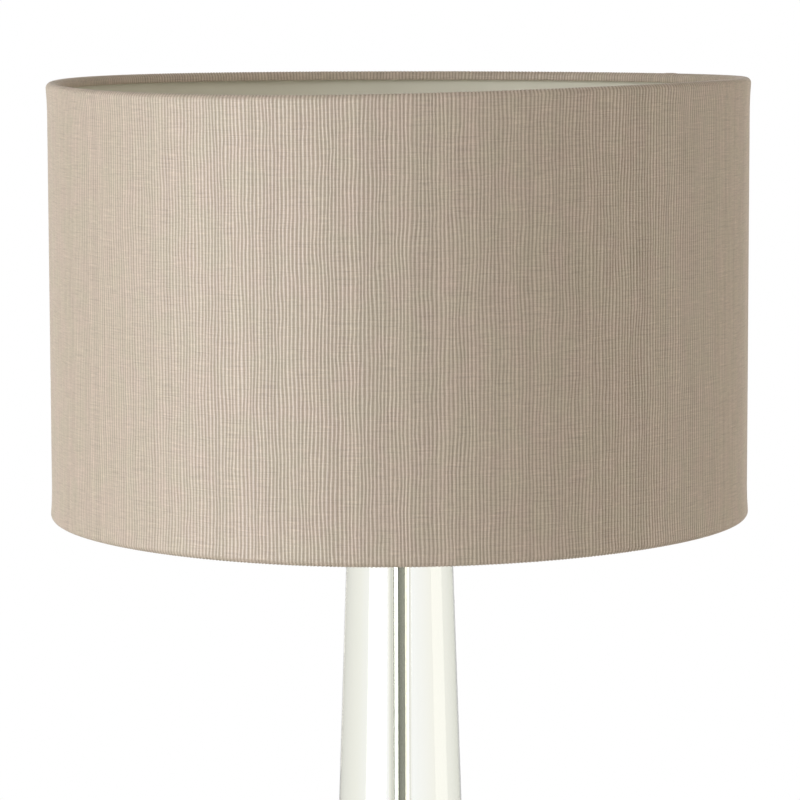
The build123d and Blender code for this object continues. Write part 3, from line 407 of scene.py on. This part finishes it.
# ---------------------------------------------------------- ribbed cloth
shade_low, shade_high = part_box("lower_hem")[0].z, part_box("upper_hem")[1].z
shade_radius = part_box("shade_fabric")[1].x
wire_radius = (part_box("upper_wire")[1].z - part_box("upper_wire")[0].z) / 2
roll_radius = 3.2 * mm  # of the cloth's face round a rim wire
hem_depth = 5.6 * mm  # from the shade's edge to the tucked end
edge_turn = 0.8 * mm  # the raw edge's turn towards the lining
rim_swell = 1.0 * mm  # the rim wire pushes the cloth out this much
swell_reach = 18 * mm
cord_count = 598  # round the shade, 2.1 mm apart
# The soft rims don't lie flat. Each wave is how many times it rises round the
# shade, how far, and the angle from +X of its first crest.
upper_waves = (
    (1, 1.05 * mm, radians(2)),
    (2, 1.24 * mm, radians(-29)),
    (3, 0.27 * mm, radians(-53)),
)
lower_waves = (
    (1, 0.35 * mm, radians(-26)),
    (2, 0.37 * mm, radians(-31)),
    (3, 0.49 * mm, radians(-30)),
)


def wall_radius(height):
    """The wall's radius at a height: the rim wires push its ends out a little."""
    rise = min(height - shade_low, shade_high - height)
    return shade_radius + rim_swell * max(0.0, 1 - rise / swell_reach) ** 2


def wall_section():
    """The wall from low to high, as radius and height."""
    low, high = shade_low + roll_radius, shade_high - roll_radius
    steps = 60
    heights = [low + (high - low) * i / steps for i in range(steps + 1)]
    return [(wall_radius(z), z) for z in heights]


def hem_section(up):
    """A hem from the wall over the wire to the tucked raw edge."""
    edge = shade_high if up > 0 else shade_low
    roll_z = edge - up * roll_radius
    centre = wall_radius(roll_z) - roll_radius
    inner = centre - roll_radius
    end_z = edge - up * hem_depth
    steps = 12
    arc = [
        (centre + roll_radius * cos(t), roll_z + up * roll_radius * sin(t))
        for t in (pi * i / steps for i in range(steps + 1))
    ]
    # Down the tucked side, round a small bend and in towards the lining.
    return arc + [
        (inner, (roll_z + end_z) / 2),
        (inner + 0.1 * mm, end_z + up * 0.2 * mm),
        (inner + 0.3 * mm, end_z),
        (inner + edge_turn, end_z),
    ]


def line_mesh(section):
    """A section as a mesh of points in a row, which a tree reads as a line."""
    mesh = bpy.data.meshes.new("section")
    edges = [(i, i + 1) for i in range(len(section) - 1)]
    mesh.from_pydata([(x, 0, z) for x, z in section], edges, [])
    return mesh


def settled(tree, angle, height):
    """Adds the rims' rise and fall to a height, at an angle round the shade."""
    above = add(tree, "ShaderNodeMath", (height, shade_low), operation="SUBTRACT")
    share = add(tree, "ShaderNodeMath", (above, shade_high - shade_low), operation="DIVIDE")
    rest = add(tree, "ShaderNodeMath", (1.0, share), operation="SUBTRACT")
    for waves, weight in ((upper_waves, share), (lower_waves, rest)):
        for times, rise, crest in waves:
            past = add(tree, "ShaderNodeMath", (angle, crest), operation="SUBTRACT")
            turn = add(tree, "ShaderNodeMath", (past, float(times)), operation="MULTIPLY")
            wave = add(tree, "ShaderNodeMath", (turn,), operation="COSINE")
            tall = add(tree, "ShaderNodeMath", (wave, rise), operation="MULTIPLY")
            height = add(tree, "ShaderNodeMath", (tall, weight, height), operation="MULTIPLY_ADD")
    return height


def cloth_group():
    """Geometry nodes that turn a section into ribbed cloth round the shade."""
    tree, given = node_group(
        "ribbed_cloth",
        (
            ("Section", "Geometry", None),
            ("Cords", "Int", cord_count),
            ("Steps per Cord", "Int", 4),
            ("Rows", "Int", 30),
            ("Cord Depth", "Float", 0.38 * mm),
            ("Wander", "Float", 5 * mm),
            ("Seed", "Float", 4.0),
            ("Seam Angle", "Float", radians(34.4)),
            ("Seam Width", "Float", 12 * mm),
            ("Seam Rise", "Float", 0.25 * mm),
            ("Cloth", "Material", None),
        ),
    )

    # A flat grid: its columns go round the shade, its rows along the section.
    steps = (given["Cords"], given["Steps per Cord"])
    around = add(tree, "ShaderNodeMath", steps, operation="MULTIPLY")
    columns = add(tree, "ShaderNodeMath", (around, 1.0), operation="ADD")
    rows = add(tree, "ShaderNodeMath", (given["Rows"], 1.0), operation="ADD")
    grid = add(
        tree,
        "GeometryNodeMeshGrid",
        {"Size X": 1.0, "Size Y": 1.0, "Vertices X": columns, "Vertices Y": rows},
    )
    flat = add(tree, "ShaderNodeSeparateXYZ", (add(tree, "GeometryNodeInputPosition"),)).outputs
    round_share = add(tree, "ShaderNodeMath", (flat["X"], 0.5), operation="ADD")
    along_share = add(tree, "ShaderNodeMath", (flat["Y"], 0.5), operation="ADD")
    cord = add(tree, "ShaderNodeMath", (round_share, given["Cords"]), operation="MULTIPLY")
    angle = add(tree, "ShaderNodeMath", (round_share, 2 * pi), operation="MULTIPLY")
    cosine = add(tree, "ShaderNodeMath", (angle,), operation="COSINE")
    sine = add(tree, "ShaderNodeMath", (angle,), operation="SINE")

    # The section's point and direction at each row.
    way = add(tree, "GeometryNodeMeshToCurve", {"Mesh": given["Section"]})
    length = add(tree, "GeometryNodeCurveLength", {"Curve": way})
    sampled = add(
        tree,
        "GeometryNodeSampleCurve",
        {"Curves": way, "Factor": along_share},
        mode="FACTOR",
        use_all_curves=False,
    ).outputs
    section = add(tree, "ShaderNodeSeparateXYZ", (sampled["Position"],)).outputs
    along = add(tree, "ShaderNodeSeparateXYZ", (sampled["Tangent"],)).outputs

    # The cords wander sideways, in bends about 18 mm wide and 45 mm high.
    bends = shade_radius * per(18)
    x = add(tree, "ShaderNodeMath", (cosine, bends), operation="MULTIPLY")
    y = add(tree, "ShaderNodeMath", (sine, bends), operation="MULTIPLY")
    z = add(tree, "ShaderNodeMath", (section["Z"], per(45)), operation="MULTIPLY")
    wall_point = add(tree, "ShaderNodeCombineXYZ", (x, y, z))
    drift = add(
        tree,
        "ShaderNodeTexNoise",
        {
            "Vector": wall_point,
            "W": given["Seed"],
            "Scale": 1.0,
            "Detail": 3.0,
            "Roughness": 0.55,
        },
        noise_dimensions="4D",
    )
    aside = add(tree, "ShaderNodeMath", (drift, 0.5), operation="SUBTRACT")
    shift = add(tree, "ShaderNodeMath", (aside, given["Wander"]), operation="MULTIPLY")
    shift = add(tree, "ShaderNodeMath", (shift, shade_radius), operation="DIVIDE")
    turned = add(tree, "ShaderNodeMath", (angle, shift), operation="ADD")

    # A cord's height: a soft wave, fuller here and flatter there.
    second = add(tree, "ShaderNodeMath", (given["Seed"], 7.0), operation="ADD")
    fullness = add(
        tree,
        "ShaderNodeTexNoise",
        {"Vector": wall_point, "W": second, "Scale": 2.0, "Detail": 1.0},
        noise_dimensions="4D",
    )
    fullness = add(tree, "ShaderNodeMath", (fullness, 0.5), operation="ADD")
    turn = add(tree, "ShaderNodeMath", (cord, 2 * pi), operation="MULTIPLY")
    wave = add(tree, "ShaderNodeMath", (turn,), operation="COSINE")
    valley = add(tree, "ShaderNodeMath", (wave, -0.5, -0.5), operation="MULTIPLY_ADD")
    depth = add(tree, "ShaderNodeMath", (fullness, given["Cord Depth"]), operation="MULTIPLY")
    relief = add(tree, "ShaderNodeMath", (valley, depth), operation="MULTIPLY")

    # The lap of the seam: a folded edge on one side, a soft end on the other.
    past = add(tree, "ShaderNodeMath", (angle, given["Seam Angle"]), operation="SUBTRACT")
    past = add(tree, "ShaderNodeMath", (past, shade_radius), operation="MULTIPLY")
    half = add(tree, "ShaderNodeMath", (given["Seam Width"], 0.5), operation="MULTIPLY")
    fold = add(
        tree,
        "ShaderNodeMapRange",
        {
            "Value": add(tree, "ShaderNodeMath", (past, half), operation="ADD"),
            "From Max": 0.6 * mm,
        },
        interpolation_type="SMOOTHSTEP",
    )
    soft_end = add(
        tree,
        "ShaderNodeMapRange",
        {
            "Value": past,
            "From Min": add(tree, "ShaderNodeMath", (half, 0.5), operation="MULTIPLY"),
            "From Max": half,
            "To Min": 1.0,
            "To Max": 0.0,
        },
        interpolation_type="SMOOTHSTEP",
    )
    lap = add(tree, "ShaderNodeMath", (fold, soft_end), operation="MULTIPLY")
    lap = add(tree, "ShaderNodeMath", (lap, given["Seam Rise"]), operation="MULTIPLY")
    rise = add(tree, "ShaderNodeMath", (relief, lap), operation="ADD")

    # Out from the section by the rise, then up or down with the rims.
    radius = add(tree, "ShaderNodeMath", (rise, along["Z"], section["X"]), operation="MULTIPLY_ADD")
    drop = add(tree, "ShaderNodeMath", (rise, along["X"]), operation="MULTIPLY")
    height = add(tree, "ShaderNodeMath", (section["Z"], drop), operation="SUBTRACT")
    cosine = add(tree, "ShaderNodeMath", (turned,), operation="COSINE")
    sine = add(tree, "ShaderNodeMath", (turned,), operation="SINE")
    x = add(tree, "ShaderNodeMath", (radius, cosine), operation="MULTIPLY")
    y = add(tree, "ShaderNodeMath", (radius, sine), operation="MULTIPLY")
    spot = add(tree, "ShaderNodeCombineXYZ", (x, y, settled(tree, angle, height)))

    # The map counts cords round the shade and cord spacings along the section.
    spacing = 2 * pi * shade_radius / cord_count
    reach = add(tree, "ShaderNodeMath", (along_share, length), operation="MULTIPLY")
    reach = add(tree, "ShaderNodeMath", (reach, spacing), operation="DIVIDE")
    mapped = add(
        tree,
        "GeometryNodeStoreNamedAttribute",
        {
            "Geometry": grid,
            "Name": "weave",
            "Value": add(tree, "ShaderNodeCombineXYZ", (cord, reach)),
        },
        data_type="FLOAT2",
        domain="CORNER",
    )
    shaped = add(tree, "GeometryNodeSetPosition", {"Geometry": mapped, "Position": spot})
    inputs = {"Geometry": shaped, "Distance": 0.005 * mm}
    closed = add(tree, "GeometryNodeMergeByDistance", inputs)
    finish_group(tree, closed, given["Cloth"])
    return tree


ribbed = cloth_group()
cloth, lower_roll, upper_roll = [
    formed(name, line_mesh(section), ribbed, Rows=rows, Cloth=finishes["taupe_cloth"])
    for name, section, rows in (
        ("ribbed_shade_cloth", wall_section(), 36),
        ("lower_rolled_hem", hem_section(-1)[::-1], 18),
        ("upper_rolled_hem", hem_section(1), 18),
    )
]
stand_in(cloth, "shade_fabric", "shade")
stand_in(lower_roll, "lower_hem", "shade")
stand_in(upper_roll, "upper_hem", "shade")


# --------------------------------------------------------- upper rim wire
def wire_group():
    """Geometry nodes that make a rim wire which follows the settled rim."""
    tree, given = node_group(
        "rim_wire",
        (
            ("Ring Radius", "Float", 0.0),
            ("Wire Radius", "Float", 0.0),
            ("Height", "Float", 0.0),
            ("Steps", "Int", 240),
            ("Coat", "Material", None),
        ),
    )
    inputs = {"Resolution": given["Steps"], "Radius": given["Ring Radius"]}
    ring = add(tree, "GeometryNodeCurvePrimitiveCircle", inputs, mode="RADIUS")
    spot = add(tree, "ShaderNodeSeparateXYZ", (add(tree, "GeometryNodeInputPosition"),)).outputs
    angle = add(tree, "ShaderNodeMath", (spot["Y"], spot["X"]), operation="ARCTAN2")
    height = settled(tree, angle, given["Height"])
    place = add(tree, "ShaderNodeCombineXYZ", (spot["X"], spot["Y"], height))
    laid = add(tree, "GeometryNodeSetPosition", {"Geometry": ring, "Position": place})
    inputs = {"Resolution": 12, "Radius": given["Wire Radius"]}
    profile = add(tree, "GeometryNodeCurvePrimitiveCircle", inputs, mode="RADIUS")
    wire = add(tree, "GeometryNodeCurveToMesh", {"Curve": laid, "Profile Curve": profile})
    finish_group(tree, wire, given["Coat"])
    return tree


upper_ring = formed(
    "settled_upper_wire",
    bpy.data.meshes.new("wire_start"),
    wire_group(),
    **{
        "Ring Radius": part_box("upper_wire")[1].x - wire_radius,
        "Wire Radius": wire_radius,
        "Height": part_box("upper_wire")[1].z - wire_radius,
        "Coat": finishes["white_steel"],
    },
)
stand_in(upper_ring, "upper_wire", "shade")

# ------------------------------------------------------------ glass column
# Dry glass touches its gaskets at points only, so that a film of air mirrors
# under its foot and over its top.
air_film = 0.05 * mm
glass_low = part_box("glass_column")[0].z + air_film
glass_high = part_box("glass_column")[1].z - air_film
foot_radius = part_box("glass_column")[1].x
top_radius = 30.8 * mm
glass_bore = 4.5 * mm
glass_edge = 0.8 * mm
glass_steps = 288  # round the column
crease = radians(35)  # a sharper turn than this shows as an edge


def glass_section():
    """The column's section: foot, tapering side and top, their edges rounded."""
    corner = [i * (pi / 2) / 6 for i in range(7)]
    low = [
        (foot_radius - glass_edge * (1 - sin(t)), glass_low + glass_edge * (1 - cos(t)))
        for t in corner
    ]
    high = [
        (top_radius - glass_edge * (1 - cos(t)), glass_high - glass_edge * (1 - sin(t)))
        for t in corner
    ]
    steps = 24
    side = [
        tuple(a + (b - a) * i / steps for a, b in zip(low[-1], high[0]))
        for i in range(1, steps)
    ]
    return [(glass_bore, glass_low)] + low + side + high + [(glass_bore, glass_high)]


def turned_solid(name, section, steps, material):
    """A solid turned from a closed section of radius and height."""
    points, faces = [], []
    count = len(section)
    for i in range(steps):
        turn = 2 * pi * i / steps
        points += [(radius * cos(turn), radius * sin(turn), z) for radius, z in section]
        near, far = i * count, (i + 1) % steps * count
        for j in range(count):
            k = (j + 1) % count
            faces.append((near + j, far + j, far + k, near + k))
    mesh = bpy.data.meshes.new(name)
    mesh.from_pydata(points, [], faces)
    mesh.materials.append(material)
    mesh.shade_smooth()
    mesh.set_sharp_from_angle(angle=crease)
    return new_piece(name, mesh)


column = turned_solid("glass_upright", glass_section(), glass_steps, finishes["clear_glass"])
stand_in(column, "glass_column", "lamp")

# ------------------------------------------------------------- the studio
scene = bpy.context.scene
scene.view_settings.view_transform = "Standard"

# What metal and glass see all round: white behind the lamp and a greyer room
# beside it and in front. Each place is the angle from +Y over +X, as a share of
# a full turn from -180 degrees.
room = (
    (0.000, "#a9aaa3"),
    (0.045, "#90928b"),
    (0.090, "#a4a59f"),
    (0.230, "#c8c9c2"),
    (0.300, "#e6e6dc"),
    (0.364, "#f3f2eb"),
    (0.430, "#fcfaf3"),
    (0.475, "#ffffff"),
    (0.550, "#ffffff"),
    (0.600, "#f5f4ed"),
    (0.670, "#e5e4de"),
    (0.760, "#dadad1"),
    (0.830, "#b4b5ae"),
    (0.900, "#bcbdb6"),
    (1.000, "#a9aaa3"),
)


def room_colour(tree, coordinate):
    """The room's colour towards a direction, or round the lamp at a place."""
    way = add(tree, "ShaderNodeTexCoord").outputs[coordinate]
    way = add(tree, "ShaderNodeSeparateXYZ", (way,)).outputs
    angle = add(tree, "ShaderNodeMath", (way["X"], way["Y"]), operation="ARCTAN2")
    share = add(tree, "ShaderNodeMath", (angle, 1 / (2 * pi), 0.5), operation="MULTIPLY_ADD")
    ring = add(tree, "ShaderNodeValToRGB", (share,))
    stops = ring.color_ramp.elements
    for place, colour in room[1:-1]:
        stops.new(place)
    for stop, (place, colour) in zip(stops, room):
        stop.position = place
        stop.color = linear(colour)
    return ring


def bent_rays(tree):
    """The kinds of ray: 1 for those that metal or glass has bent, and the rest."""
    path = add(tree, "ShaderNodeLightPath").outputs
    mirrored, through = path["Is Glossy Ray"], path["Is Transmission Ray"]
    return add(tree, "ShaderNodeMath", (mirrored, through), operation="MAXIMUM"), path


# A round table top, smaller than the studio. Pale matt paint, which the camera
# sees brighter, more so towards its rim, so that it is white with the lamp's
# shadow on it. Metal and glass see it in the room's colours, without an edge.
floor_radius = 0.82
floor_sides = 128
shadow_radius, shadow_lift = 0.3, 2.0  # as far as this the floor is this much brighter
clear_radius, clear_lift = 0.8, 4.5  # and from here on this much
rim = [2 * pi * i / floor_sides for i in range(floor_sides)]
floor_mesh = bpy.data.meshes.new("studio_floor")
floor_mesh.from_pydata(
    [(floor_radius * cos(t), floor_radius * sin(t), 0) for t in rim],
    [],
    [tuple(range(floor_sides))],
)
floor = new_piece("studio_floor", floor_mesh)
paint, tree, shader = new_material("pale_floor_paint", Roughness=0.9)
shader.inputs["Base Color"].default_value = linear("#f4f2ee")
bent, path = bent_rays(tree)
place = add(tree, "ShaderNodeTexCoord").outputs["Object"]
away = add(tree, "ShaderNodeVectorMath", (place,), operation="LENGTH").outputs["Value"]
lift = add(
    tree,
    "ShaderNodeMapRange",
    {
        "Value": away,
        "From Min": shadow_radius,
        "From Max": clear_radius,
        "To Min": shadow_lift,
        "To Max": clear_lift,
    },
)
lifted = add(
    tree,
    "ShaderNodeVectorMath",
    {0: linear("#e9eef5")[:3], "Scale": lift},
    operation="SCALE",
)
bright = add(tree, "ShaderNodeBsdfDiffuse", {"Color": lifted})
seen = add(tree, "ShaderNodeEmission", {"Color": room_colour(tree, "Object"), "Strength": 1.0})
mixed = add(tree, "ShaderNodeMixShader", (path["Is Camera Ray"], shader, bright))
mixed = add(tree, "ShaderNodeMixShader", (bent, mixed, seen))
tree.links.new(mixed.outputs[0], tree.nodes["Material Output"].inputs["Surface"])
floor_mesh.materials.append(paint)

# The studio's air. It lights plain surfaces evenly. The camera sees white.
air = bpy.data.worlds.new("studio_air")
air.use_nodes = True
tree = air.node_tree
tree.nodes.clear()
bent, path = bent_rays(tree)
plain = add(tree, "ShaderNodeBackground", {"Color": linear("#fff1e0"), "Strength": 0.28})
seen = add(tree, "ShaderNodeBackground", {"Color": room_colour(tree, "Generated"), "Strength": 1.0})
white = add(tree, "ShaderNodeBackground", {"Color": linear("#ffffff"), "Strength": 1.0})
mixed = add(tree, "ShaderNodeMixShader", (bent, plain, seen))
mixed = add(tree, "ShaderNodeMixShader", (path["Is Camera Ray"], mixed, white))
add(tree, "ShaderNodeOutputWorld", {"Surface": mixed})
scene.world = air


# The softboxes reach below the floor's level, so that the tube mirrors them all
# the way down.
softbox_height, softbox_middle = 3.0, 0.7


def softbox(name, azimuth, distance, width, power, colour):
    """An upright soft light that faces the lamp; azimuth 0 is the camera's side."""
    a = radians(azimuth)
    away = Vector((sin(a), -cos(a), 0))
    light = bpy.data.lights.new(name, "AREA")
    light.shape = "RECTANGLE"
    light.size = width
    light.size_y = softbox_height
    light.energy = power
    light.color = linear(colour)[:3]
    lamp = new_piece(name, light)
    lamp.location = away * distance + Vector((0, 0, softbox_middle))
    lamp.rotation_mode = "QUATERNION"
    lamp.rotation_quaternion = (-away).to_track_quat("-Z", "Y")
    lamp.visible_camera = False


softbox("key_softbox", azimuth=-47, distance=3.0, width=2.3, power=88, colour="#fafdff")
softbox("fill_softbox", azimuth=85, distance=2.6, width=1.4, power=24, colour="#fffaf0")

# -------------------------------------------------------------- the camera
# Fitted to both rims of the shade in the photo. It looks slightly down.
camera_aside, camera_away = 0.45 * mm, 2.219  # of the lamp's axis
camera_above = 68.5 * mm  # the shade's upper edge
pitch, roll = radians(6.49), radians(-0.158)
camera_data = bpy.data.cameras.new("camera")
camera_data.sensor_width = 36.0
camera_data.lens = 174.4
camera = new_piece("camera", camera_data)
camera.matrix_world = (
    Matrix.Translation((camera_aside, -camera_away, shade_high + camera_above))
    @ Matrix.Rotation(pi / 2 - pitch, 4, "X")
    @ Matrix.Rotation(roll, 4, "Z")
)
scene.camera = camera
